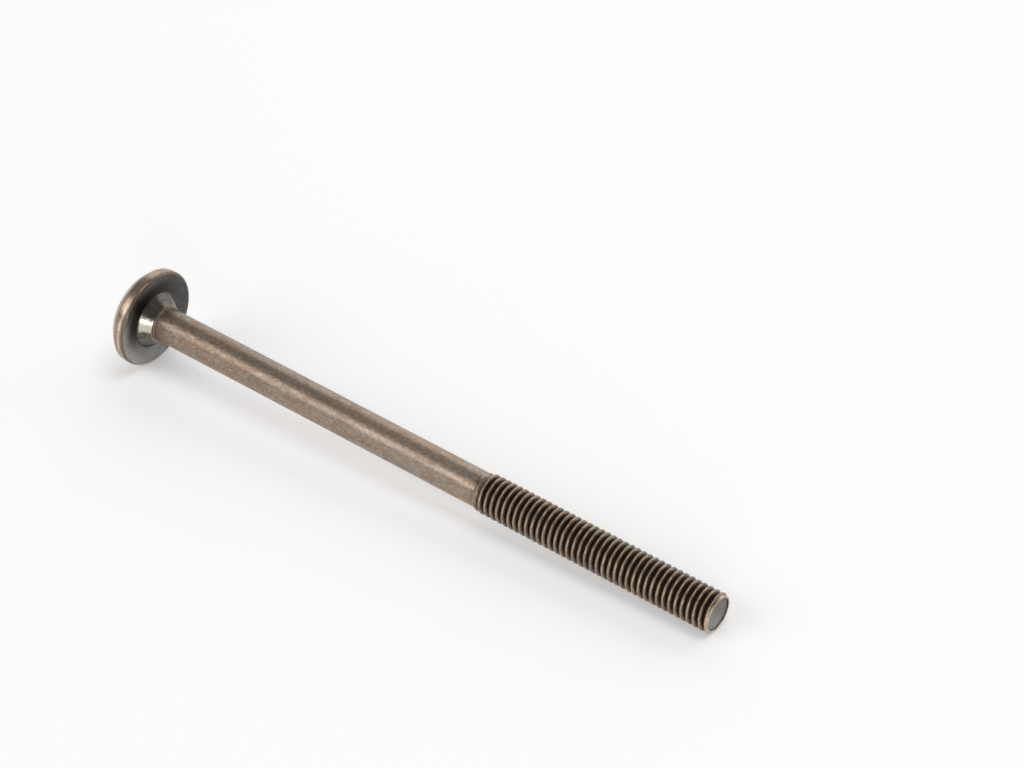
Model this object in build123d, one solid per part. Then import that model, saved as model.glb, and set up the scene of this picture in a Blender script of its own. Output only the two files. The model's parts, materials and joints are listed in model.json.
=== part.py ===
from build123d import *
import math
import os

os.makedirs("parts", exist_ok=True)

# A furniture connector screw, formed from one piece of steel wire: a flat chamfered head
# with a hexagon socket, a short conical neck under it, a plain shank and a rolled
# metric thread that ends in a chamfered tip.
#
# It is modelled along +X, with X = 0 at the bearing face under the head, and then laid
# down as it comes to rest on a level surface: on the rim of the head and on the thread
# at the tip. +Z is up, and the tip points to +X. The origin is on that surface, under
# the middle of the screw.

# Driving dimensions, in millimetres and degrees.
SCREW_LENGTH = 100.0  # from the bearing face to the tip

HEAD_DIAMETER = 15.0
HEAD_THICKNESS = 2.9
HEAD_CHAMFER = 1.2  # at 45 degrees, from the top face to the rim
HEAD_SHOULDER_RADIUS = 0.6  # rounds the chamfer into the rim
HEAD_RIM_RADIUS = 0.4  # rounds the rim into the bearing face

SOCKET_ACROSS_FLATS = 4.0
SOCKET_DEPTH = 3.4
SOCKET_LEAD_IN_DIAMETER = 4.9
SOCKET_LEAD_IN_ANGLE = 90.0
SOCKET_FLOOR_ANGLE = 120.0

NECK_BASE_DIAMETER = 8.6
NECK_END_DIAMETER = 6.0
NECK_LENGTH = 1.65
NECK_ROOT_RADIUS = 0.15  # rounds the end of the neck into the shank

SHANK_DIAMETER = 5.25

THREAD_DIAMETER = 5.96
THREAD_LENGTH = 40.0
THREAD_RUN_UP = 0.6  # the cone from the shank up to the thread
TIP_CHAMFER = 0.55  # at 45 degrees

LYING_ROLL = 30.0  # about its own axis, from a corner of the socket straight up

# What follows from them.
head_radius = HEAD_DIAMETER / 2
shank_radius = SHANK_DIAMETER / 2
crest_radius = THREAD_DIAMETER / 2
thread_start = SCREW_LENGTH - THREAD_LENGTH
tip_shoulder = SCREW_LENGTH - TIP_CHAMFER


def turned_form():
    """The screw as a solid of revolution about the X axis, without its socket."""
    head_shoulder = (HEAD_CHAMFER - HEAD_THICKNESS, head_radius)
    bearing_edge = (0, head_radius)
    neck_root = (NECK_LENGTH, shank_radius)
    with BuildPart() as form:
        with BuildSketch() as half_section:
            with BuildLine():
                Polyline(
                    (-HEAD_THICKNESS, 0),
                    (-HEAD_THICKNESS, head_radius - HEAD_CHAMFER),
                    head_shoulder,
                    bearing_edge,
                    (0, NECK_BASE_DIAMETER / 2),
                    (NECK_LENGTH, NECK_END_DIAMETER / 2),
                    neck_root,
                    (thread_start, shank_radius),
                    (thread_start + THREAD_RUN_UP, crest_radius),
                    (tip_shoulder, crest_radius),
                    (SCREW_LENGTH, crest_radius - TIP_CHAMFER),
                    (SCREW_LENGTH, 0),
                    close=True,
                )
            make_face()
            for corner, radius in (
                (head_shoulder, HEAD_SHOULDER_RADIUS),
                (bearing_edge, HEAD_RIM_RADIUS),
                (neck_root, NECK_ROOT_RADIUS),
            ):
                fillet(half_section.vertices().sort_by_distance(corner)[0], radius)
        revolve(axis=Axis.X)
    return form.part


def cone(mouth_radius, full_angle):
    """A cone from its mouth on the YZ plane to its point on the X axis."""
    depth = mouth_radius / math.tan(math.radians(full_angle / 2))
    along_x = (0, 90, 0)
    base_at_mouth = (Align.CENTER, Align.CENTER, Align.MIN)
    return Cone(mouth_radius, 0, depth, rotation=along_x, align=base_at_mouth)


def key_socket():
    """The space the hexagon key enters, from the top face of the head."""
    corner_up = 90
    hexagon = RegularPolygon(
        SOCKET_ACROSS_FLATS / 2, 6, major_radius=False, rotation=corner_up
    )
    flats = extrude(Plane.YZ * hexagon, SOCKET_DEPTH)
    lead_in = cone(SOCKET_LEAD_IN_DIAMETER / 2, SOCKET_LEAD_IN_ANGLE)
    floor = Pos(SOCKET_DEPTH, 0, 0) * cone(SOCKET_ACROSS_FLATS / 2, SOCKET_FLOOR_ANGLE)
    return Pos(-HEAD_THICKNESS, 0, 0) * (flats + lead_in + floor)


def resting_dip():
    """The angle from level down to the tip, with rim and thread on one line."""
    rim_centre_to_tip = tip_shoulder + HEAD_RIM_RADIUS
    rim_centre_above_crest = head_radius - HEAD_RIM_RADIUS - crest_radius
    centre_line = math.atan2(rim_centre_above_crest, rim_centre_to_tip)
    reach = math.hypot(rim_centre_above_crest, rim_centre_to_tip)
    return math.degrees(centre_line + math.asin(HEAD_RIM_RADIUS / reach))


screw = Rotation(LYING_ROLL, 0, 0) * (turned_form() - key_socket())
screw = Rotation(0, resting_dip(), 0) * screw
box = screw.bounding_box()
screw = Pos(-box.center().X, -box.center().Y, -box.min.Z) * screw
export_step(screw, "parts/furniture_screw.step")
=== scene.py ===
import json
import math

import bmesh
import bpy
import numpy as np
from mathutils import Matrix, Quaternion, Vector


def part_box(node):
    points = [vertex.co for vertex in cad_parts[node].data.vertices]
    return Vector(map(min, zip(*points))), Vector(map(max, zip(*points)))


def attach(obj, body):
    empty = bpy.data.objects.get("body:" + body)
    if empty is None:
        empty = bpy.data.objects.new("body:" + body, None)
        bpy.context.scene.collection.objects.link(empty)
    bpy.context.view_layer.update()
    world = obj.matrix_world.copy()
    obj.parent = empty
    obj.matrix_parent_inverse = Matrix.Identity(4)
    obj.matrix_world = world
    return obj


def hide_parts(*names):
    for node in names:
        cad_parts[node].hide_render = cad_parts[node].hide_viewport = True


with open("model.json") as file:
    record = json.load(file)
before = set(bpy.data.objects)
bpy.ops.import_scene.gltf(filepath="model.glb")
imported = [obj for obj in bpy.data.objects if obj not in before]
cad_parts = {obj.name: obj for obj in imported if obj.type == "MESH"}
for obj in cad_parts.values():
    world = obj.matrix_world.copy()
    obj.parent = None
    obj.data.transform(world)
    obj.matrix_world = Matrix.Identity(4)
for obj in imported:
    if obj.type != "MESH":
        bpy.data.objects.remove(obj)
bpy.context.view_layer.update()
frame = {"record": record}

MM = 0.001
COLUMNS = 120  # round the screw, a multiple of six for the key socket

# The screw's own sizes in millimetres, the same as the part's. Stations are measured
# along its axis from the bearing face towards the tip.
SCREW_LENGTH = 100.0
HEAD_RADIUS = 7.5
HEAD_THICKNESS = 2.9
HEAD_CHAMFER = 1.2
HEAD_SHOULDER_RADIUS = 0.6
HEAD_RIM_RADIUS = 0.4
SOCKET_FLAT = 2.0  # from the axis to a flat
SOCKET_DEPTH = 3.4
SOCKET_MOUTH_RADIUS = 2.45
SOCKET_FLOOR_HALF_ANGLE = 60  # degrees
NECK_BASE_RADIUS = 4.3
NECK_END_RADIUS = 3.0
NECK_LENGTH = 1.65
NECK_SLOPE = (NECK_BASE_RADIUS - NECK_END_RADIUS) / NECK_LENGTH
SHANK_RADIUS = 2.625
CREST_RADIUS = 2.98
THREAD_START = 60.0
TIP_CHAMFER = 0.55

# Finer forms, which the part leaves to this script.
LIP_WIDTH = 0.06  # of the rounded lip outside the socket's mouth
EDGE_BREAK = 0.12  # rounding of the chamfer's edge on the top face
RIM_CROWN = 0.05  # by which the rim's edges are lower than its middle
RIM_CROWN_RADIUS = 4.0
NECK_ROUNDING = 0.1
NECK_ROOT_ROUNDING = 0.12
PITCH = 1.0
GROOVE_DEPTH = 0.54
FLANK_ANGLE = 30  # degrees, from upright
CREST_ROUNDING = 0.19
CREST_AT_TOP = 61.5  # the station of a crest where it passes straight up
CORNER_EASE = 0.03  # each way, at the corners of the groove
THREAD_RUN_OUT = 1.7  # over which the thread grows out of the shank
THREAD_END = SCREW_LENGTH - 0.05  # where the groove has run out
THREAD_FADE = 0.25  # over which the groove runs out on the tip's chamfer
TIP_BREAK = 0.35  # the part of the chamfer that is cut at 45 degrees
TIP_CUP = 0.15  # by which the tip's end is hollow inside its rim

# Where the finish is worn or thick, and where painted highlights and painted shade lie.
# The angles run round the screw from straight up towards -Y.
RIM_PAINTED_HIGHLIGHT_AT = math.radians(74)
NECK_PAINTED_HIGHLIGHT_AT = math.radians(72)
NECK_PAINTED_HIGHLIGHT_SPREAD = math.radians(17)
NECK_PAINTED_HIGHLIGHT_FROM = 0.25  # station
CROOK_SHADE_AT = math.radians(35)
CREST_WORN = 0.09  # half the width that is fully worn on a crest
CUT_BLEND = 0.03  # over which the tip's chamfer takes its own finish

# Where each patch lies on the texture map, in millimetres: the middle of a disc, or the
# first corner of a strip and the width of one turn round the screw.
MAP_SIDE = 60.0
MAP_SOCKET_FLOOR = (42.0, 31.5)
MAP_SOCKET_WALL = (28.5, 56.6, 14.0)
MAP_TOP_FACE = (46.0, 7.0)
MAP_HEAD_EDGE = (0.3, 52.3, 47.0)
MAP_BEARING_FACE = (47.5, 21.5)
MAP_NECK = (0.3, 56.7, 26.0)
MAP_SHANK = (0.3, 35.4, 16.5)
MAP_THREAD_HALVES = ((0.3, 0.4, 17.0), (0.3, 17.9, 17.0))
MAP_TIP = (49.5, 31.6)

# The material slots of the mesh. The socket and the tip's end share the head's.
ON_SHANK, ON_HEAD, ON_NECK, ON_THREAD = range(4)

# How the mesh is closed, in metres, and where its shading breaks, in degrees.
WELD = 2e-6
SLIVER = 1e-7
SHARP_ANGLE = 50


# --- the screw's axis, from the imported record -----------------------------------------


def mount(name):
    """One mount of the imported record."""
    return next(m for m in frame["record"]["mounts"] if m["name"] == name)


along = Vector(mount("thread")["axis"]).normalized()
sideways = Vector((0, 1, 0))
upward = along.cross(sideways)  # at right angles to the axis
round_from_up = along.cross(upward)
top_centre = Vector(mount("key_socket")["pos_m"])
bearing_centre = top_centre + along * HEAD_THICKNESS * MM

AXES = np.array([along[:], upward[:], round_from_up[:]])
ANGLES = np.linspace(0, 2 * np.pi, COLUMNS + 1)


def placed(station, radius):
    """Points at these stations and radii, arrays of rows by columns."""
    own = np.stack([station, radius * np.cos(ANGLES), radius * np.sin(ANGLES)], axis=-1)
    return np.array(bearing_centre) + (own * MM) @ AXES


# --- patches: grids of rows along the profile and columns round the screw -------------

grids, layouts, finishes, slots = [], [], [], []


def patch(station, radius, layout, slot, wear_and_highlight=0.0, recess=0.0, flat=0.0):
    """One grid of the surface. layout gives its place on the texture map in millimetres,
    and the three masks are for the finish."""
    rows = len(station)
    shape = (rows, COLUMNS + 1)
    station = np.broadcast_to(np.asarray(station, float).reshape(rows, -1), shape)
    radius = np.broadcast_to(np.asarray(radius, float).reshape(rows, -1), shape)
    masks = [
        np.broadcast_to(np.reshape(mask, (-1, 1)) if np.ndim(mask) == 1 else mask, shape)
        for mask in (wear_and_highlight, recess, flat)
    ]
    grids.append(placed(station, radius))
    layouts.append(np.broadcast_to(layout, shape + (2,)) / MAP_SIDE)
    finishes.append(np.stack(masks + [np.ones(shape)], axis=-1))
    slots.append(slot)


def disc(radius, centre, turn=1):
    """A flat or conical patch laid out as seen along the axis."""
    radius = np.broadcast_to(
        np.asarray(radius, float).reshape(len(radius), -1), (len(radius), COLUMNS + 1)
    )
    return np.stack(
        [centre[0] + radius * np.cos(ANGLES), centre[1] + turn * radius * np.sin(ANGLES)],
        axis=-1,
    )


def run(station, radius):
    """Distance travelled along a profile, from its first point."""
    steps = np.hypot(np.diff(station), np.diff(radius))
    return np.concatenate([[0], np.cumsum(steps)])


def strip(travelled, place, upright=False):
    """A band round the screw, rolled out flat at this place on the map."""
    u = np.broadcast_to(travelled.reshape(-1, 1), (len(travelled), COLUMNS + 1))
    v = np.broadcast_to(ANGLES / (2 * np.pi) * place[2], u.shape)
    both = (v, u) if upright else (u, v)
    return np.stack([place[0] + both[0], place[1] + both[1]], axis=-1)


def rounded(corners, arc_points=7, support=0.05):
    """A profile through these corners (station, radius, rounding, wear), each rounded to
    its own radius. Returns stations, radii and wear."""
    out = []
    for i, (x, y, rounding, wear_and_highlight) in enumerate(corners):
        if rounding == 0:
            out.append((x, y, wear_and_highlight))
            continue
        here = np.array([x, y])
        back = np.array(corners[i - 1][:2]) - here
        on = np.array(corners[i + 1][:2]) - here
        back, on = back / np.hypot(*back), on / np.hypot(*on)
        half = math.acos(np.clip(back @ on, -1, 1)) / 2
        reach = rounding / math.tan(half)
        middle = (back + on) / np.hypot(*(back + on))
        centre = here + middle * rounding / math.sin(half)
        first, last = here + back * reach - centre, here + on * reach - centre
        sweep = math.pi - 2 * half
        out.append((*(here + back * (reach + support)), wear_and_highlight * 0.25))
        for k in range(arc_points):
            t = k / (arc_points - 1)
            spot = (
                math.sin((1 - t) * sweep) * first + math.sin(t * sweep) * last
            ) / math.sin(sweep)
            out.append((*(centre + spot), wear_and_highlight * (0.45 + 0.55 * math.sin(t * math.pi))))
        out.append((*(here + on * (reach + support)), wear_and_highlight * 0.25))
    return (np.array(c) for c in zip(*out, strict=True))


# The socket: hexagon flats up and down, a conical floor and a conical lead-in. hexagon
# is its radius at each angle.
hexagon = SOCKET_FLAT / np.cos((ANGLES + np.pi / 6) % (np.pi / 3) - np.pi / 6)
floor_drop = SOCKET_FLAT / math.tan(math.radians(SOCKET_FLOOR_HALF_ANGLE))
floor_share = np.array([0.0, 0.3, 0.65, 1.0]).reshape(-1, 1)
socket_floor = SOCKET_DEPTH + floor_drop * (1 - floor_share)
patch(
    -HEAD_THICKNESS + socket_floor,
    hexagon * floor_share,
    disc(hexagon * floor_share, MAP_SOCKET_FLOOR),
    ON_HEAD,
    recess=1.0,
)
mouth_drop = SOCKET_MOUTH_RADIUS - hexagon
wall_share = np.array([0.0, 0.2, 0.5, 0.8, 1.0]).reshape(-1, 1)
wall_deep = SOCKET_DEPTH + (mouth_drop - SOCKET_DEPTH) * wall_share
patch(
    -HEAD_THICKNESS + wall_deep,
    np.tile(hexagon, (len(wall_share), 1)),
    strip(wall_share[:, 0] * SOCKET_DEPTH, MAP_SOCKET_WALL, upright=True),
    ON_HEAD,
    recess=np.array([1.0, 0.95, 0.8, 0.5, 0.15]),
)
lead_share = np.array([0.0, 0.5, 0.9]).reshape(-1, 1)
lead_radius = hexagon + (SOCKET_MOUTH_RADIUS - hexagon) * lead_share
lead_station = -HEAD_THICKNESS + mouth_drop * (1 - lead_share)
patch(
    lead_station,
    lead_radius,
    disc(lead_radius, MAP_TOP_FACE),
    ON_HEAD,
    wear_and_highlight=np.array([0.25, 0.1, 0.3]),
)

# The top face, from the lead-in's lip to the edge of the chamfer.
lip_share = np.array([0.0, 0.35, 0.75, 1.0]).reshape(-1, 1)
lip_from = lead_radius[-1]
lip_to = SOCKET_MOUTH_RADIUS + LIP_WIDTH
lip_rows = lip_from + (lip_to - lip_from) * lip_share
lip_drop = (lead_station[-1] + HEAD_THICKNESS) * (1 - lip_share) ** 2
patch(
    -HEAD_THICKNESS + lip_drop,
    lip_rows,
    disc(lip_rows, MAP_TOP_FACE),
    ON_HEAD,
    wear_and_highlight=np.array([0.3, 0.45, 0.35, 0.1]),
    flat=np.array([0.3, 0.5, 0.8, 1.0]),
)
chamfer_edge = HEAD_RADIUS - HEAD_CHAMFER
face_edge = chamfer_edge - 0.13
face_rows = np.array([lip_to, 2.8, 3.6, 4.5, 5.4, face_edge])
patch(
    np.full(len(face_rows), -HEAD_THICKNESS),
    face_rows,
    disc(face_rows, MAP_TOP_FACE),
    ON_HEAD,
    wear_and_highlight=np.array([0.1, 0, 0, 0, 0, 0.15]),
    flat=1.0,
)

# The chamfer, the rim and the edge of the bearing face.
rim_start = HEAD_CHAMFER - HEAD_THICKNESS
rim_edge = HEAD_RADIUS - RIM_CROWN
bearing_outer = HEAD_RADIUS - 0.6
edge_corners = [
    (-HEAD_THICKNESS, face_edge, 0, 0.15),
    (-HEAD_THICKNESS, chamfer_edge, EDGE_BREAK, 1.0),
    (rim_start, rim_edge, HEAD_SHOULDER_RADIUS, 0.45),
    (rim_start / 2, HEAD_RADIUS + RIM_CROWN / 3, RIM_CROWN_RADIUS, 1.0),
    (0, rim_edge, HEAD_RIM_RADIUS, 0.2),
    (0, bearing_outer, 0, 0.0),
]
edge_station, edge_radius, edge_wear = rounded(edge_corners)
edge_run = run(edge_station, edge_radius)
# A painted highlight: the rim's edges are brightened on one side of the head, round one
# angle.
rim_painted_highlight = 0.3 + 0.7 * np.cos((ANGLES - RIM_PAINTED_HIGHLIGHT_AT) / 2) ** 16
# Painted shade darkens the rim's lower corner, to dull a glint there; the last rows
# already belong to the bearing face.
bearing_corner_shade = (edge_station > -0.45) & (edge_radius > HEAD_RADIUS - 0.3)
bearing_edge = (edge_station > -0.1) & (edge_radius < HEAD_RADIUS - 0.25)
patch(
    edge_station,
    edge_radius,
    strip(edge_run, MAP_HEAD_EDGE, upright=True),
    ON_HEAD,
    wear_and_highlight=edge_wear.reshape(-1, 1) * rim_painted_highlight,
    recess=np.where(bearing_corner_shade, 0.4, 0.0),
    flat=np.where(bearing_edge, 1.0, 0.0),
)

# The bearing face, in to the foot of the neck. The crook under the head is painted dark
# as shade, more so on one side.
neck_foot = NECK_BASE_RADIUS + 0.2
bearing_rows = np.array([bearing_outer, 6.3, 5.6, 5.0, neck_foot])
crook_shade = np.array([0.0, 0.42, 0.8, 0.92, 0.97]).reshape(-1, 1)
crook_shade_side = np.cos((ANGLES - CROOK_SHADE_AT) / 2) ** 4
patch(
    np.zeros(len(bearing_rows)),
    bearing_rows,
    disc(bearing_rows, MAP_BEARING_FACE, -1),
    ON_HEAD,
    recess=crook_shade * (0.2 + 0.8 * crook_shade_side),
    flat=1.0,
)

# The neck and the step down to the shank. A painted highlight lies on one side of the
# neck, from just above its foot.
shank_start = NECK_LENGTH + 0.5
neck_corners = [
    (0, neck_foot, 0, 0),
    (0, NECK_BASE_RADIUS, NECK_ROUNDING, 0),
    (NECK_PAINTED_HIGHLIGHT_FROM, NECK_BASE_RADIUS - NECK_PAINTED_HIGHLIGHT_FROM * NECK_SLOPE, 0, 0),
    (NECK_LENGTH, NECK_END_RADIUS, NECK_ROUNDING, 0.8),
    (NECK_LENGTH, SHANK_RADIUS, NECK_ROOT_ROUNDING, 0),
    (shank_start, SHANK_RADIUS, 0, 0),
]
neck_station, neck_radius, neck_wear_and_highlight = rounded(neck_corners, 5, 0.03)
neck_run = run(neck_station, neck_radius)
neck_end = int(np.argmax(neck_wear_and_highlight))
# A painted highlight on one side of the neck.
neck_painted_highlight = 1.2 * np.exp(-(((ANGLES - NECK_PAINTED_HIGHLIGHT_AT) / NECK_PAINTED_HIGHLIGHT_SPREAD) ** 2))
above_foot = (neck_station >= NECK_PAINTED_HIGHLIGHT_FROM).reshape(-1, 1)
neck_wear_and_highlight = np.maximum(neck_wear_and_highlight.reshape(-1, 1), neck_painted_highlight * above_foot)
on_bearing_face = neck_station < 0.02
neck_halves = (slice(0, neck_end + 1), ON_NECK), (slice(neck_end, None), ON_SHANK)
for rows, slot in neck_halves:
    patch(
        neck_station[rows],
        neck_radius[rows],
        strip(neck_run[rows], MAP_NECK, upright=True),
        slot,
        wear_and_highlight=neck_wear_and_highlight[rows],
        # Painted shade in the angle at the neck's foot.
        recess=np.where(on_bearing_face[rows], 0.45, 0.0),
        flat=np.where(on_bearing_face[rows], 1.0, 0.0),
    )

# The shank.
thread_zone = THREAD_START - 0.1
shank_rows = np.linspace(shank_start, thread_zone, 24)
patch(
    shank_rows,
    np.full(len(shank_rows), SHANK_RADIUS),
    strip(shank_rows - shank_start, MAP_SHANK),
    ON_SHANK,
)


# The thread: each row of the grid follows the helix, right-handed, so that the crests
# and the roots stay crisp. At both ends the rows are held at the end of the zone.
def groove(offset):
    """Depth below the crest at this distance from the middle of a crest: an arc, then
    a flank, then a flat root."""
    offset = np.abs(offset)
    arc_end = CREST_ROUNDING * math.cos(math.radians(FLANK_ANGLE))
    arc_height = np.sqrt(CREST_ROUNDING**2 - np.minimum(offset, arc_end) ** 2)
    flank = (offset - arc_end) / math.tan(math.radians(FLANK_ANGLE))
    return np.minimum(CREST_ROUNDING - arc_height + np.maximum(flank, 0), GROOVE_DEPTH)


def soft_groove(offset):
    """The same with its corners eased."""
    spread = np.linspace(-CORNER_EASE, CORNER_EASE, 7)
    near = (np.asarray(offset)[..., None] + spread + PITCH / 2) % PITCH - PITCH / 2
    return groove(near).mean(-1)


# The rows of one turn, as distances from the middle of a crest: closest on the crest.
half_turn = np.array([0.0, 0.06, 0.11, 0.15, 0.19, 0.43])
one_turn = np.concatenate([half_turn, [0.5], PITCH - half_turn[:0:-1]])
turns = math.ceil((SCREW_LENGTH - thread_zone) / PITCH) + 2
first_crest = CREST_AT_TOP - PITCH * math.ceil((CREST_AT_TOP - thread_zone) / PITCH + 1)
turn_index = np.arange(turns)[:, None]
helix_rows = (first_crest + turn_index * PITCH + one_turn).reshape(-1, 1)
closed_turn = np.append(one_turn, PITCH)
turn_run = run(closed_turn, soft_groove(closed_turn))
helix_run = (turn_index * turn_run[-1] + turn_run[:-1]).reshape(-1, 1)

# Each row climbs by one pitch on its way round.
lead = PITCH * ANGLES / (2 * np.pi)
free_station = helix_rows + lead
held_station = np.clip(free_station, thread_zone, SCREW_LENGTH)
phase = (held_station - CREST_AT_TOP - lead + PITCH / 2) % PITCH - PITCH / 2
ending = np.clip((THREAD_END - held_station) / THREAD_FADE, 0, 1)
depth = soft_groove(phase) * ending
share = np.clip((held_station - thread_zone) / THREAD_RUN_OUT, 0, 1)
formed = share * share * (3 - 2 * share)  # 0 on the shank, 1 on the full thread
thread_radius = SHANK_RADIUS + formed * (CREST_RADIUS - depth - SHANK_RADIUS)
chamfered = CREST_RADIUS - (held_station - (SCREW_LENGTH - TIP_BREAK))
tip_cut = np.clip((thread_radius - chamfered) / CUT_BLEND, 0, 1)
thread_radius = np.minimum(thread_radius, chamfered)
thread_recess = np.clip((CREST_RADIUS - thread_radius) / GROOVE_DEPTH, 0, 1)
thread_recess = thread_recess * formed**2 * (1 - tip_cut)
crest_wear = np.clip(1 - (np.abs(phase) - CREST_WORN) / CREST_WORN, 0, 1) * formed
thread_wear = np.maximum(crest_wear, tip_cut)

# The thread is laid out in two halves on the texture map.
middle_row = (turns // 2) * len(one_turn)
round_share = ANGLES / (2 * np.pi)
thread_halves = slice(0, middle_row + 1), slice(middle_row, len(helix_rows))
for rows, place in zip(thread_halves, MAP_THREAD_HALVES, strict=True):
    rolled = helix_run[rows] - helix_run[rows.start] + round_share * turn_run[-1]
    held = (held_station[rows] - free_station[rows]) * turn_run[-1] / PITCH
    across = np.broadcast_to(round_share * place[2], rolled.shape)
    patch(
        held_station[rows],
        thread_radius[rows],
        np.stack([place[0] + rolled + held, place[1] + across], axis=-1),
        ON_THREAD,
        wear_and_highlight=thread_wear[rows],
        recess=thread_recess[rows],
        flat=tip_cut[rows],
    )

# The tip's end: a narrow rim round a shallow flat hollow. Each row has its station,
# radius, wear and recess.
cup_radius = CREST_RADIUS - TIP_CHAMFER
cup_floor = SCREW_LENGTH - TIP_CUP
tip_profile = [
    (SCREW_LENGTH, CREST_RADIUS - TIP_BREAK, 0.8, 0.0),
    (SCREW_LENGTH, cup_radius + 0.1, 0.9, 0.0),
    (SCREW_LENGTH - 0.03, cup_radius + 0.02, 0.7, 0.0),
    (cup_floor + 0.02, cup_radius, 0.0, 0.9),
    (cup_floor, cup_radius - 0.04, 0.0, 0.5),
    (cup_floor, cup_radius - 0.2, 0.0, 0.25),
    (cup_floor, cup_radius * 0.6, 0.0, 0.25),
    (cup_floor, cup_radius * 0.3, 0.0, 0.25),
    (cup_floor, 0.0, 0.0, 0.25),
]
tip_station, tip_radius, tip_wear, tip_recess = np.array(tip_profile).T
patch(
    tip_station,
    tip_radius,
    disc(tip_radius, MAP_TIP, -1),
    ON_HEAD,
    wear_and_highlight=tip_wear,
    recess=tip_recess,
    flat=np.where(tip_wear > 0, 0.0, 1.0),
)


# --- the mesh -------------------------------------------------------------------------


def screw_mesh():
    """All the patches as one mesh, closed along their edges. The masks for the finish go
    with it as a colour attribute."""
    places, faces, corner_map, corner_finish, materials = [], [], [], [], []
    count = 0
    for grid, layout, finish, slot in zip(grids, layouts, finishes, slots, strict=True):
        rows = len(grid)
        places.append(grid.reshape(-1, 3))
        index = count + np.arange(rows * (COLUMNS + 1)).reshape(rows, -1)
        count += index.size
        around = (slice(0, -1), slice(0, -1)), (slice(1, None), slice(0, -1))
        around += (slice(1, None), slice(1, None)), (slice(0, -1), slice(1, None))
        faces.append(np.stack([index[c] for c in around], -1).reshape(-1, 4))
        corner_map.append(np.stack([layout[c] for c in around], -2).reshape(-1, 4, 2))
        corner_finish.append(np.stack([finish[c] for c in around], -2).reshape(-1, 4, 4))
        materials.append(np.full(len(faces[-1]), slot))
    mesh = bpy.data.meshes.new("screw")
    mesh.from_pydata(np.concatenate(places).tolist(), [], np.concatenate(faces).tolist())
    mesh.uv_layers.new(name="OFBake").data.foreach_set(
        "uv", np.concatenate(corner_map).astype(np.float32).ravel()
    )
    mesh.color_attributes.new("finish", "FLOAT_COLOR", "CORNER").data.foreach_set(
        "color", np.concatenate(corner_finish).astype(np.float32).ravel()
    )
    mesh.polygons.foreach_set("material_index", np.concatenate(materials))
    welded = bmesh.new()
    welded.from_mesh(mesh)
    bmesh.ops.remove_doubles(welded, verts=welded.verts, dist=WELD)
    bmesh.ops.dissolve_degenerate(welded, edges=welded.edges, dist=SLIVER)
    bmesh.ops.recalc_face_normals(welded, faces=welded.faces)
    welded.to_mesh(mesh)
    welded.free()
    mesh.shade_smooth()
    mesh.set_sharp_from_angle(angle=math.radians(SHARP_ANGLE))
    return mesh


screw = bpy.data.objects.new("screw", screw_mesh())
bpy.context.scene.collection.objects.link(screw)


# --- materials ------------------------------------------------------------------------


class Nodes:
    """Short ways to add shader nodes to one material."""

    def __init__(self, name):
        self.material = bpy.data.materials.new(name)
        self.material.use_nodes = True
        self.tree = self.material.node_tree
        self.shader = self.tree.nodes["Principled BSDF"]

    def add(self, kind, settings=(), **inputs):
        node = self.tree.nodes.new(kind)
        for key, value in dict(settings).items():
            setattr(node, key, value)
        for key, value in inputs.items():
            self.feed(node.inputs[key.replace("_", " ")], value)
        return node

    def feed(self, socket, value):
        if isinstance(value, bpy.types.NodeSocket):
            self.tree.links.new(value, socket)
        else:
            socket.default_value = value

    def math(self, operation, a, b=0.0, c=0.0):
        node = self.tree.nodes.new("ShaderNodeMath")
        node.operation = operation
        for socket, value in zip(node.inputs, (a, b, c), strict=True):
            self.feed(socket, value)
        return node.outputs[0]

    def mix(self, share, a, b):
        node = self.tree.nodes.new("ShaderNodeMix")
        node.data_type = "RGBA"
        self.feed(node.inputs[0], share)
        for socket, value in zip(node.inputs[6:8], (a, b), strict=True):
            self.feed(socket, value if not isinstance(value, tuple) else (*value, 1.0))
        return node.outputs[2]

    def between(self, value, low, high, to_low=0.0, to_high=1.0):
        """A smooth step from to_low at low to to_high at high."""
        node = self.tree.nodes.new("ShaderNodeMapRange")
        node.interpolation_type = "SMOOTHSTEP"
        for socket, number in zip(
            node.inputs, (value, low, high, to_low, to_high), strict=False
        ):
            self.feed(socket, number)
        return node.outputs[0]

    def noise(self, where, scale, detail=4.0, roughness=0.55, distortion=0.0):
        node = self.add(
            "ShaderNodeTexNoise",
            Vector=where,
            Scale=scale,
            Detail=detail,
            Roughness=roughness,
            Distortion=distortion,
        )
        return node.outputs["Fac"]

    def places(self, stretch=(1.0, 1.0, 1.0), shift=(0.0, 0.0, 0.0)):
        """The piece's own coordinates in millimetres."""
        own = self.tree.nodes.new("ShaderNodeTexCoord")
        node = self.add(
            "ShaderNodeMapping",
            Vector=own.outputs["Object"],
            Scale=tuple(s / MM for s in stretch),
            Location=shift,
        )
        return node.outputs[0]

    def masks(self):
        """Wear with the painted highlights, recess with patina and painted shade, and
        flat, as the patches gave them.
        """
        colour = self.add("ShaderNodeVertexColor", {"layer_name": "finish"})
        parts = self.add("ShaderNodeSeparateColor", Color=colour.outputs["Color"])
        return parts.outputs[0], parts.outputs[1], parts.outputs[2]

    def bump(self, height, distance, under=None):
        node = self.add("ShaderNodeBump", Height=height, Distance=distance, Strength=1.0)
        if under is not None:
            self.feed(node.inputs["Normal"], under)
        return node.outputs[0]

    def finish(self, colour, roughness, normal):
        self.shader.inputs["Metallic"].default_value = 1.0
        self.feed(self.shader.inputs["Base Color"], colour)
        self.feed(self.shader.inputs["Roughness"], roughness)
        self.feed(self.shader.inputs["Normal"], normal)
        return self.material


# Across the head in the piece's own millimetres: nearer the top face, nearer the bearing
# face.
# Between them the painted shade of the bearing face fades in.
TOP_SIDE_X = -50.4
BEARING_SIDE_X = -49.8

# Colours of the plated steel, from the dark ground to the bare edges.
SLATE = (0.07, 0.067, 0.065)
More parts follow.
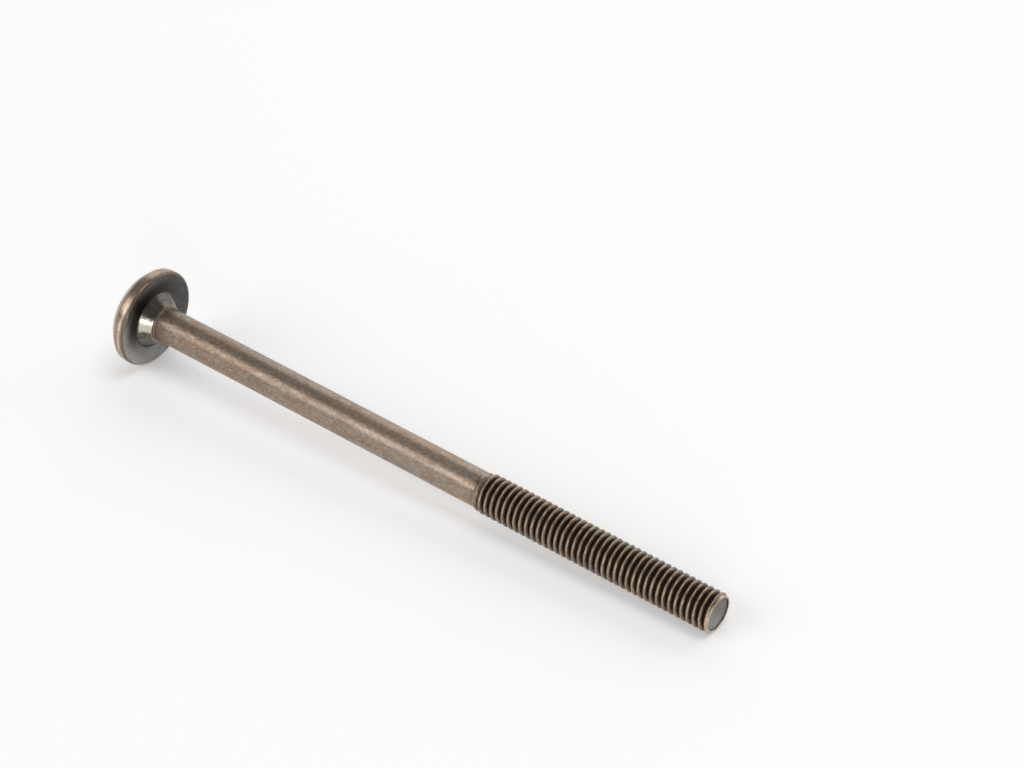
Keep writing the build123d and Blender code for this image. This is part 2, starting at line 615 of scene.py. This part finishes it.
# Also the painted reflection low on the bearing face.
PALE_SLATE = (0.37, 0.365, 0.358)
BROWN = (0.235, 0.15, 0.1)
RUST_BROWN = (0.29, 0.165, 0.105)
DARK_BROWN = (0.12, 0.068, 0.042)
BRONZE = (0.37, 0.28, 0.215)
GREY_BRONZE = (0.33, 0.275, 0.23)
PALE_BRONZE = (0.45, 0.39, 0.305)
COPPER = (0.38, 0.265, 0.18)
BRASS = (0.58, 0.465, 0.33)
TAN = (0.5, 0.39, 0.26)
# Patina, and also painted shade at the neck's foot and on the rim's lower corner.
PATINA_AND_SHADE = (0.022, 0.015, 0.014)
HEAD_END_BROWN = (0.21, 0.165, 0.125)
# The barest edges, and the brightest of the rim's painted highlight.
POLISH_AND_HIGHLIGHT_BRASS = (0.78, 0.68, 0.52)
NECK_DARK = (0.1, 0.093, 0.083)
NECK_PALE = (0.17, 0.155, 0.135)
# The bare edge at the neck's end, and the neck's painted highlight.
NECK_WEAR_AND_HIGHLIGHT = (0.62, 0.58, 0.48)
ROOT_BROWN = (0.045, 0.028, 0.025)
CREST_BROWN = (0.28, 0.23, 0.175)
CREST_TAN = (0.42, 0.325, 0.205)
TIP_COPPER = (0.45, 0.32, 0.22)
TIP_BRASS = (0.63, 0.47, 0.34)


def shank_finish():
    """Mottled bronze, darker towards the head."""
    n = Nodes("bronze_shank")
    broad = n.noise(n.places((0.25, 1.0, 1.0), (3.0, 0.0, 0.0)), 0.3, 3.0)
    blotch = n.noise(n.places((0.5, 1.0, 1.0)), 0.9, 5.0, 0.6, 0.3)
    fleck = n.noise(n.places((0.55, 1.0, 1.0), (0.0, 9.0, 4.0)), 3.0, 4.0, 0.7)
    grain = n.noise(n.places(), 4.5, 4.0, 0.7)
    along_x = n.add("ShaderNodeSeparateXYZ", Vector=n.places()).outputs["X"]
    # A broad shift to a darker brown towards the head.
    head_end_share = n.math("MULTIPLY_ADD", broad, 30.0, along_x)
    colour = n.mix(n.between(broad, 0.38, 0.62), GREY_BRONZE, BRONZE)
    colour = n.mix(n.between(head_end_share, 25.0, -35.0, 0.0, 0.5), colour, HEAD_END_BROWN)
    colour = n.mix(n.between(blotch, 0.47, 0.64, 0.0, 0.45), colour, RUST_BROWN)
    colour = n.mix(n.between(fleck, 0.48, 0.37, 0.0, 0.6), colour, BROWN)
    colour = n.mix(n.between(fleck, 0.52, 0.63, 0.0, 0.65), colour, PALE_BRONZE)
    colour = n.mix(n.between(grain, 0.42, 0.3, 0.0, 0.45), colour, DARK_BROWN)
    colour = n.mix(n.between(grain, 0.58, 0.7, 0.0, 0.3), colour, TAN)
    rough = n.between(blotch, 0.3, 0.7, 0.34, 0.44)
    rough = n.math("ADD", rough, n.between(grain, 0.3, 0.7, -0.05, 0.07))
    normal = n.bump(grain, 0.012 * MM)
    normal = n.bump(blotch, 0.014 * MM, normal)
    return n.finish(colour, rough, normal)


def head_finish():
    """Slate grey on the flat faces, bronze round them and bare metal on the edges, with a
    painted highlight on one side of the rim. The bearing face has painted shade, darker
    towards its upper far side, and a painted reflection, paler low down."""
    n = Nodes("bronze_head")
    wear_and_highlight, recess, flat = n.masks()
    even = n.places()
    broad = n.noise(n.places(shift=(5.0, 1.0, 2.0)), 0.35, 3.0)
    blotch = n.noise(even, 1.1, 6.0, 0.6, 0.4)
    fleck = n.noise(n.places(shift=(0.0, 7.0, 3.0)), 2.2, 4.0, 0.65)
    grain = n.noise(even, 4.5, 4.0, 0.7)
    wear_and_highlight_share = n.math("MULTIPLY", wear_and_highlight, n.between(blotch, 0.28, 0.6, 0.5, 1.25))
    wear_and_highlight_share = n.math("ADD", wear_and_highlight_share, n.between(grain, 0.35, 0.65, -0.1, 0.1))
    side = n.mix(n.between(broad, 0.35, 0.65), GREY_BRONZE, BRONZE)
    side = n.mix(n.between(blotch, 0.5, 0.66, 0.0, 0.6), side, RUST_BROWN)
    side = n.mix(n.between(fleck, 0.46, 0.34, 0.0, 0.7), side, BROWN)
    side = n.mix(n.between(fleck, 0.54, 0.66, 0.0, 0.6), side, PALE_BRONZE)
    # Painted shade and a painted reflection: the bearing face is darker towards its upper
    # far side and paler low down; broad noise adds its own tone.
    spot = n.add("ShaderNodeSeparateXYZ", Vector=even).outputs
    painted_shade_ramp = n.between(spot["X"], TOP_SIDE_X, BEARING_SIDE_X, 0.0, 0.055)
    tone_and_painted_shade = n.math("MULTIPLY", n.math("ADD", spot["Y"], spot["Z"]), painted_shade_ramp)
    tone_and_painted_shade = n.math("MULTIPLY_ADD", broad, 0.9, tone_and_painted_shade)
    face = n.mix(n.between(tone_and_painted_shade, 0.28, 1.1), PALE_SLATE, SLATE)
    face = n.mix(n.between(blotch, 0.52, 0.7, 0.0, 0.3), face, GREY_BRONZE)
    face = n.mix(n.between(fleck, 0.62, 0.72, 0.0, 0.6), face, PALE_BRONZE)
    face = n.mix(n.between(fleck, 0.42, 0.3, 0.0, 0.5), face, DARK_BROWN)
    colour = n.mix(flat, side, face)
    # Bare edges, and a painted highlight along one side of the rim, in copper and brass.
    colour = n.mix(n.between(wear_and_highlight_share, 0.15, 0.5, 0.0, 0.7), colour, COPPER)
    colour = n.mix(n.between(wear_and_highlight_share, 0.5, 0.95, 0.0, 0.85), colour, BRASS)
    colour = n.mix(n.between(wear_and_highlight_share, 0.85, 1.2, 0.0, 0.9), colour, POLISH_AND_HIGHLIGHT_BRASS)
    # Patina in the socket and the tip's hollow; painted shade at the neck's foot and on
    # the rim's lower corner.
    colour = n.mix(n.between(recess, 0.05, 0.75, 0.0, 0.95), colour, PATINA_AND_SHADE)
    rough = n.between(blotch, 0.3, 0.7, 0.26, 0.36)
    rough = n.math("ADD", rough, n.between(grain, 0.3, 0.7, -0.05, 0.06))
    rough = n.math("ADD", rough, n.math("MULTIPLY", recess, 0.15))
    normal = n.bump(grain, 0.008 * MM)
    normal = n.bump(blotch, 0.015 * MM, normal)
    return n.finish(colour, rough, normal)


def neck_finish():
    """Smooth and nearly black, with a pale painted highlight on one side."""
    n = Nodes("bronze_neck")
    wear_and_highlight, recess, flat = n.masks()
    even = n.places()
    blotch = n.noise(even, 1.4, 5.0, 0.6, 0.4)
    grain = n.noise(even, 4.0, 4.0, 0.65)
    colour = n.mix(n.between(blotch, 0.4, 0.6), NECK_DARK, NECK_PALE)
    colour = n.mix(n.between(blotch, 0.52, 0.7, 0.0, 0.7), colour, DARK_BROWN)
    colour = n.mix(flat, colour, SLATE)
    wear_and_highlight_share = n.math("ADD", wear_and_highlight, n.between(blotch, 0.35, 0.65, -0.12, 0.12))
    # The bare edge at the neck's end and the painted highlight on one side.
    colour = n.mix(n.between(wear_and_highlight_share, 0.3, 0.8, 0.0, 0.9), colour, NECK_WEAR_AND_HIGHLIGHT)
    # Painted shade at the neck's foot.
    colour = n.mix(n.between(recess, 0.1, 0.8, 0.0, 0.8), colour, PATINA_AND_SHADE)
    rough = n.between(grain, 0.3, 0.7, 0.14, 0.24)
    normal = n.bump(blotch, 0.012 * MM)
    return n.finish(colour, rough, normal)


def thread_finish():
    """Dark in the groove, bronze on the crests and copper on the tip's chamfer."""
    n = Nodes("bronze_thread")
    wear_and_highlight, recess, tip = n.masks()
    even = n.places()
    blotch = n.noise(n.places((0.5, 1.0, 1.0)), 0.9, 5.0, 0.6)
    fleck = n.noise(n.places(shift=(2.0, 0.0, 5.0)), 1.6, 4.0, 0.7)
    grain = n.noise(even, 3.8, 4.0, 0.7)
    wear_and_highlight_share = n.math("MULTIPLY", wear_and_highlight, n.between(blotch, 0.3, 0.62, 0.65, 1.15))
    wear_and_highlight_share = n.math("ADD", wear_and_highlight_share, n.between(fleck, 0.35, 0.65, -0.14, 0.14))
    deep = n.math("ADD", recess, n.between(grain, 0.3, 0.7, -0.08, 0.08))
    flank = n.mix(n.between(fleck, 0.42, 0.6), BROWN, GREY_BRONZE)
    colour = n.mix(n.between(deep, 0.12, 0.75), flank, ROOT_BROWN)
    crest = n.mix(n.between(blotch, 0.4, 0.62), CREST_BROWN, CREST_TAN)
    colour = n.mix(n.between(wear_and_highlight_share, 0.2, 0.75, 0.0, 0.95), colour, crest)
    rim = n.mix(n.between(fleck, 0.4, 0.6), TIP_COPPER, TIP_BRASS)
    colour = n.mix(tip, colour, rim)
    rough = n.between(deep, 0.0, 0.6, 0.32, 0.45)
    rough = n.math("ADD", rough, n.between(grain, 0.3, 0.7, -0.05, 0.06))
    normal = n.bump(grain, 0.01 * MM)
    return n.finish(colour, rough, normal)


# In the order of the slots.
for material in (shank_finish(), head_finish(), neck_finish(), thread_finish()):
    screw.data.materials.append(material)

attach(screw, "root")
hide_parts("furniture_screw")


# --- floor, light and camera ----------------------------------------------------------

WHITE = (1.0, 1.0, 1.0, 1.0)
FLOOR_RADIUS = 12.0
FLOOR_TONE = 0.9
WORLD_STRENGTH = 0.28

# Name, direction towards the lamp, its distance, width and height in metres, radiance.
LAMPS = (
    ("light_back", (-0.13, 0.94, 0.48), 0.8, 1.8, 0.65, 1.04),
    ("light_key", (-0.42, -0.63, 0.54), 1.3, 1.04, 0.68, 2.1),
    ("light_low", (0.62, -0.77, 0.18), 0.75, 0.36, 0.24, 4.2),
    ("light_top", (0.2, 0.05, 0.98), 0.8, 0.4, 0.4, 3.0),
    ("light_left", (-0.56, -0.83, 0.0), 0.8, 0.3, 0.2, 1.3),
)

# The camera looks down at the screw from the tip's side, with the head at the left. It
# aims at a point beside the middle of the bearing face, in millimetres.
AZIMUTH = math.radians(36.9)
ELEVATION = math.radians(38.05)
CAMERA_ROLL = -0.0018  # radians
CAMERA_DISTANCE = 498.365
AIM_RIGHT = 52.283
AIM_DOWN = 9.618
FOCAL_LENGTH = 119.1
SENSOR_WIDTH = 36.0

low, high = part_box("furniture_screw")
middle = (Vector(low) + Vector(high)) / 2
stand = Vector((middle.x, middle.y, low[2]))


def pale_floor():
    """A wide white disc. What the camera sees of it is lifted towards white, more so
    further out, where the lamps don't reach."""
    mesh = bpy.data.meshes.new("floor")
    ring = bmesh.new()
    bmesh.ops.create_circle(ring, cap_ends=True, segments=96, radius=FLOOR_RADIUS)
    ring.to_mesh(mesh)
    ring.free()
    n = Nodes("floor_white")
    shader = n.shader.inputs
    shader["Base Color"].default_value = (FLOOR_TONE, FLOOR_TONE, FLOOR_TONE, 1.0)
    shader["Roughness"].default_value = 0.9
    shader["Specular IOR Level"].default_value = 0.0
    shader["Emission Color"].default_value = WHITE
    path = n.tree.nodes.new("ShaderNodeLightPath").outputs
    seen = n.math("MAXIMUM", path["Is Camera Ray"], path["Is Glossy Ray"])
    seen = n.math("MAXIMUM", seen, path["Is Transmission Ray"])
    own = n.tree.nodes.new("ShaderNodeTexCoord").outputs["Object"]
    away = n.add("ShaderNodeVectorMath", {"operation": "LENGTH"}, Vector=own)
    lift = n.between(away.outputs["Value"], 0.2, 1.2, 0.24, 0.72)
    n.feed(shader["Emission Strength"], n.math("MULTIPLY", seen, lift))
    mesh.materials.append(n.material)
    floor = bpy.data.objects.new("floor", mesh)
    floor.location = stand
    bpy.context.scene.collection.objects.link(floor)


def panel(name, direction, distance, width, height, radiance):
    """A soft rectangular lamp that faces the screw; width runs level."""
    lamp = bpy.data.lights.new(name, "AREA")
    lamp.shape = "RECTANGLE"
    lamp.size = width
    lamp.size_y = height
    lamp.energy = radiance * math.pi * width * height
    holder = bpy.data.objects.new(name, lamp)
    away = Vector(direction).normalized()
    holder.location = middle + away * distance
    holder.rotation_mode = "QUATERNION"
    holder.rotation_quaternion = away.to_track_quat("Z", "Y")
    bpy.context.scene.collection.objects.link(holder)


def take_aim():
    """The camera, placed so that the picture matches the photograph's view."""
    right = Vector((math.cos(AZIMUTH), math.sin(AZIMUTH), 0))
    back = Vector(
        (
            math.sin(AZIMUTH) * math.cos(ELEVATION),
            -math.cos(AZIMUTH) * math.cos(ELEVATION),
            math.sin(ELEVATION),
        )
    )
    above = back.cross(right)
    aim = bearing_centre + right * AIM_RIGHT * MM - above * AIM_DOWN * MM
    lens = bpy.data.cameras.new("camera")
    lens.sensor_width = SENSOR_WIDTH
    lens.lens = FOCAL_LENGTH
    lens.clip_start, lens.clip_end = 0.01, 50.0
    camera = bpy.data.objects.new("camera", lens)
    camera.location = aim + back * CAMERA_DISTANCE * MM
    camera.rotation_mode = "QUATERNION"
    level = back.to_track_quat("Z", "Y")
    camera.rotation_quaternion = Quaternion(back, CAMERA_ROLL) @ level
    bpy.context.scene.collection.objects.link(camera)
    bpy.context.scene.camera = camera


pale_floor()
for lamp in LAMPS:
    panel(*lamp)
take_aim()

world = bpy.data.worlds.new("studio")
world.use_nodes = True
sky = world.node_tree.nodes["Background"].inputs
sky["Color"].default_value = WHITE
sky["Strength"].default_value = WORLD_STRENGTH
bpy.context.scene.world = world
bpy.context.scene.view_settings.view_transform = "Standard"
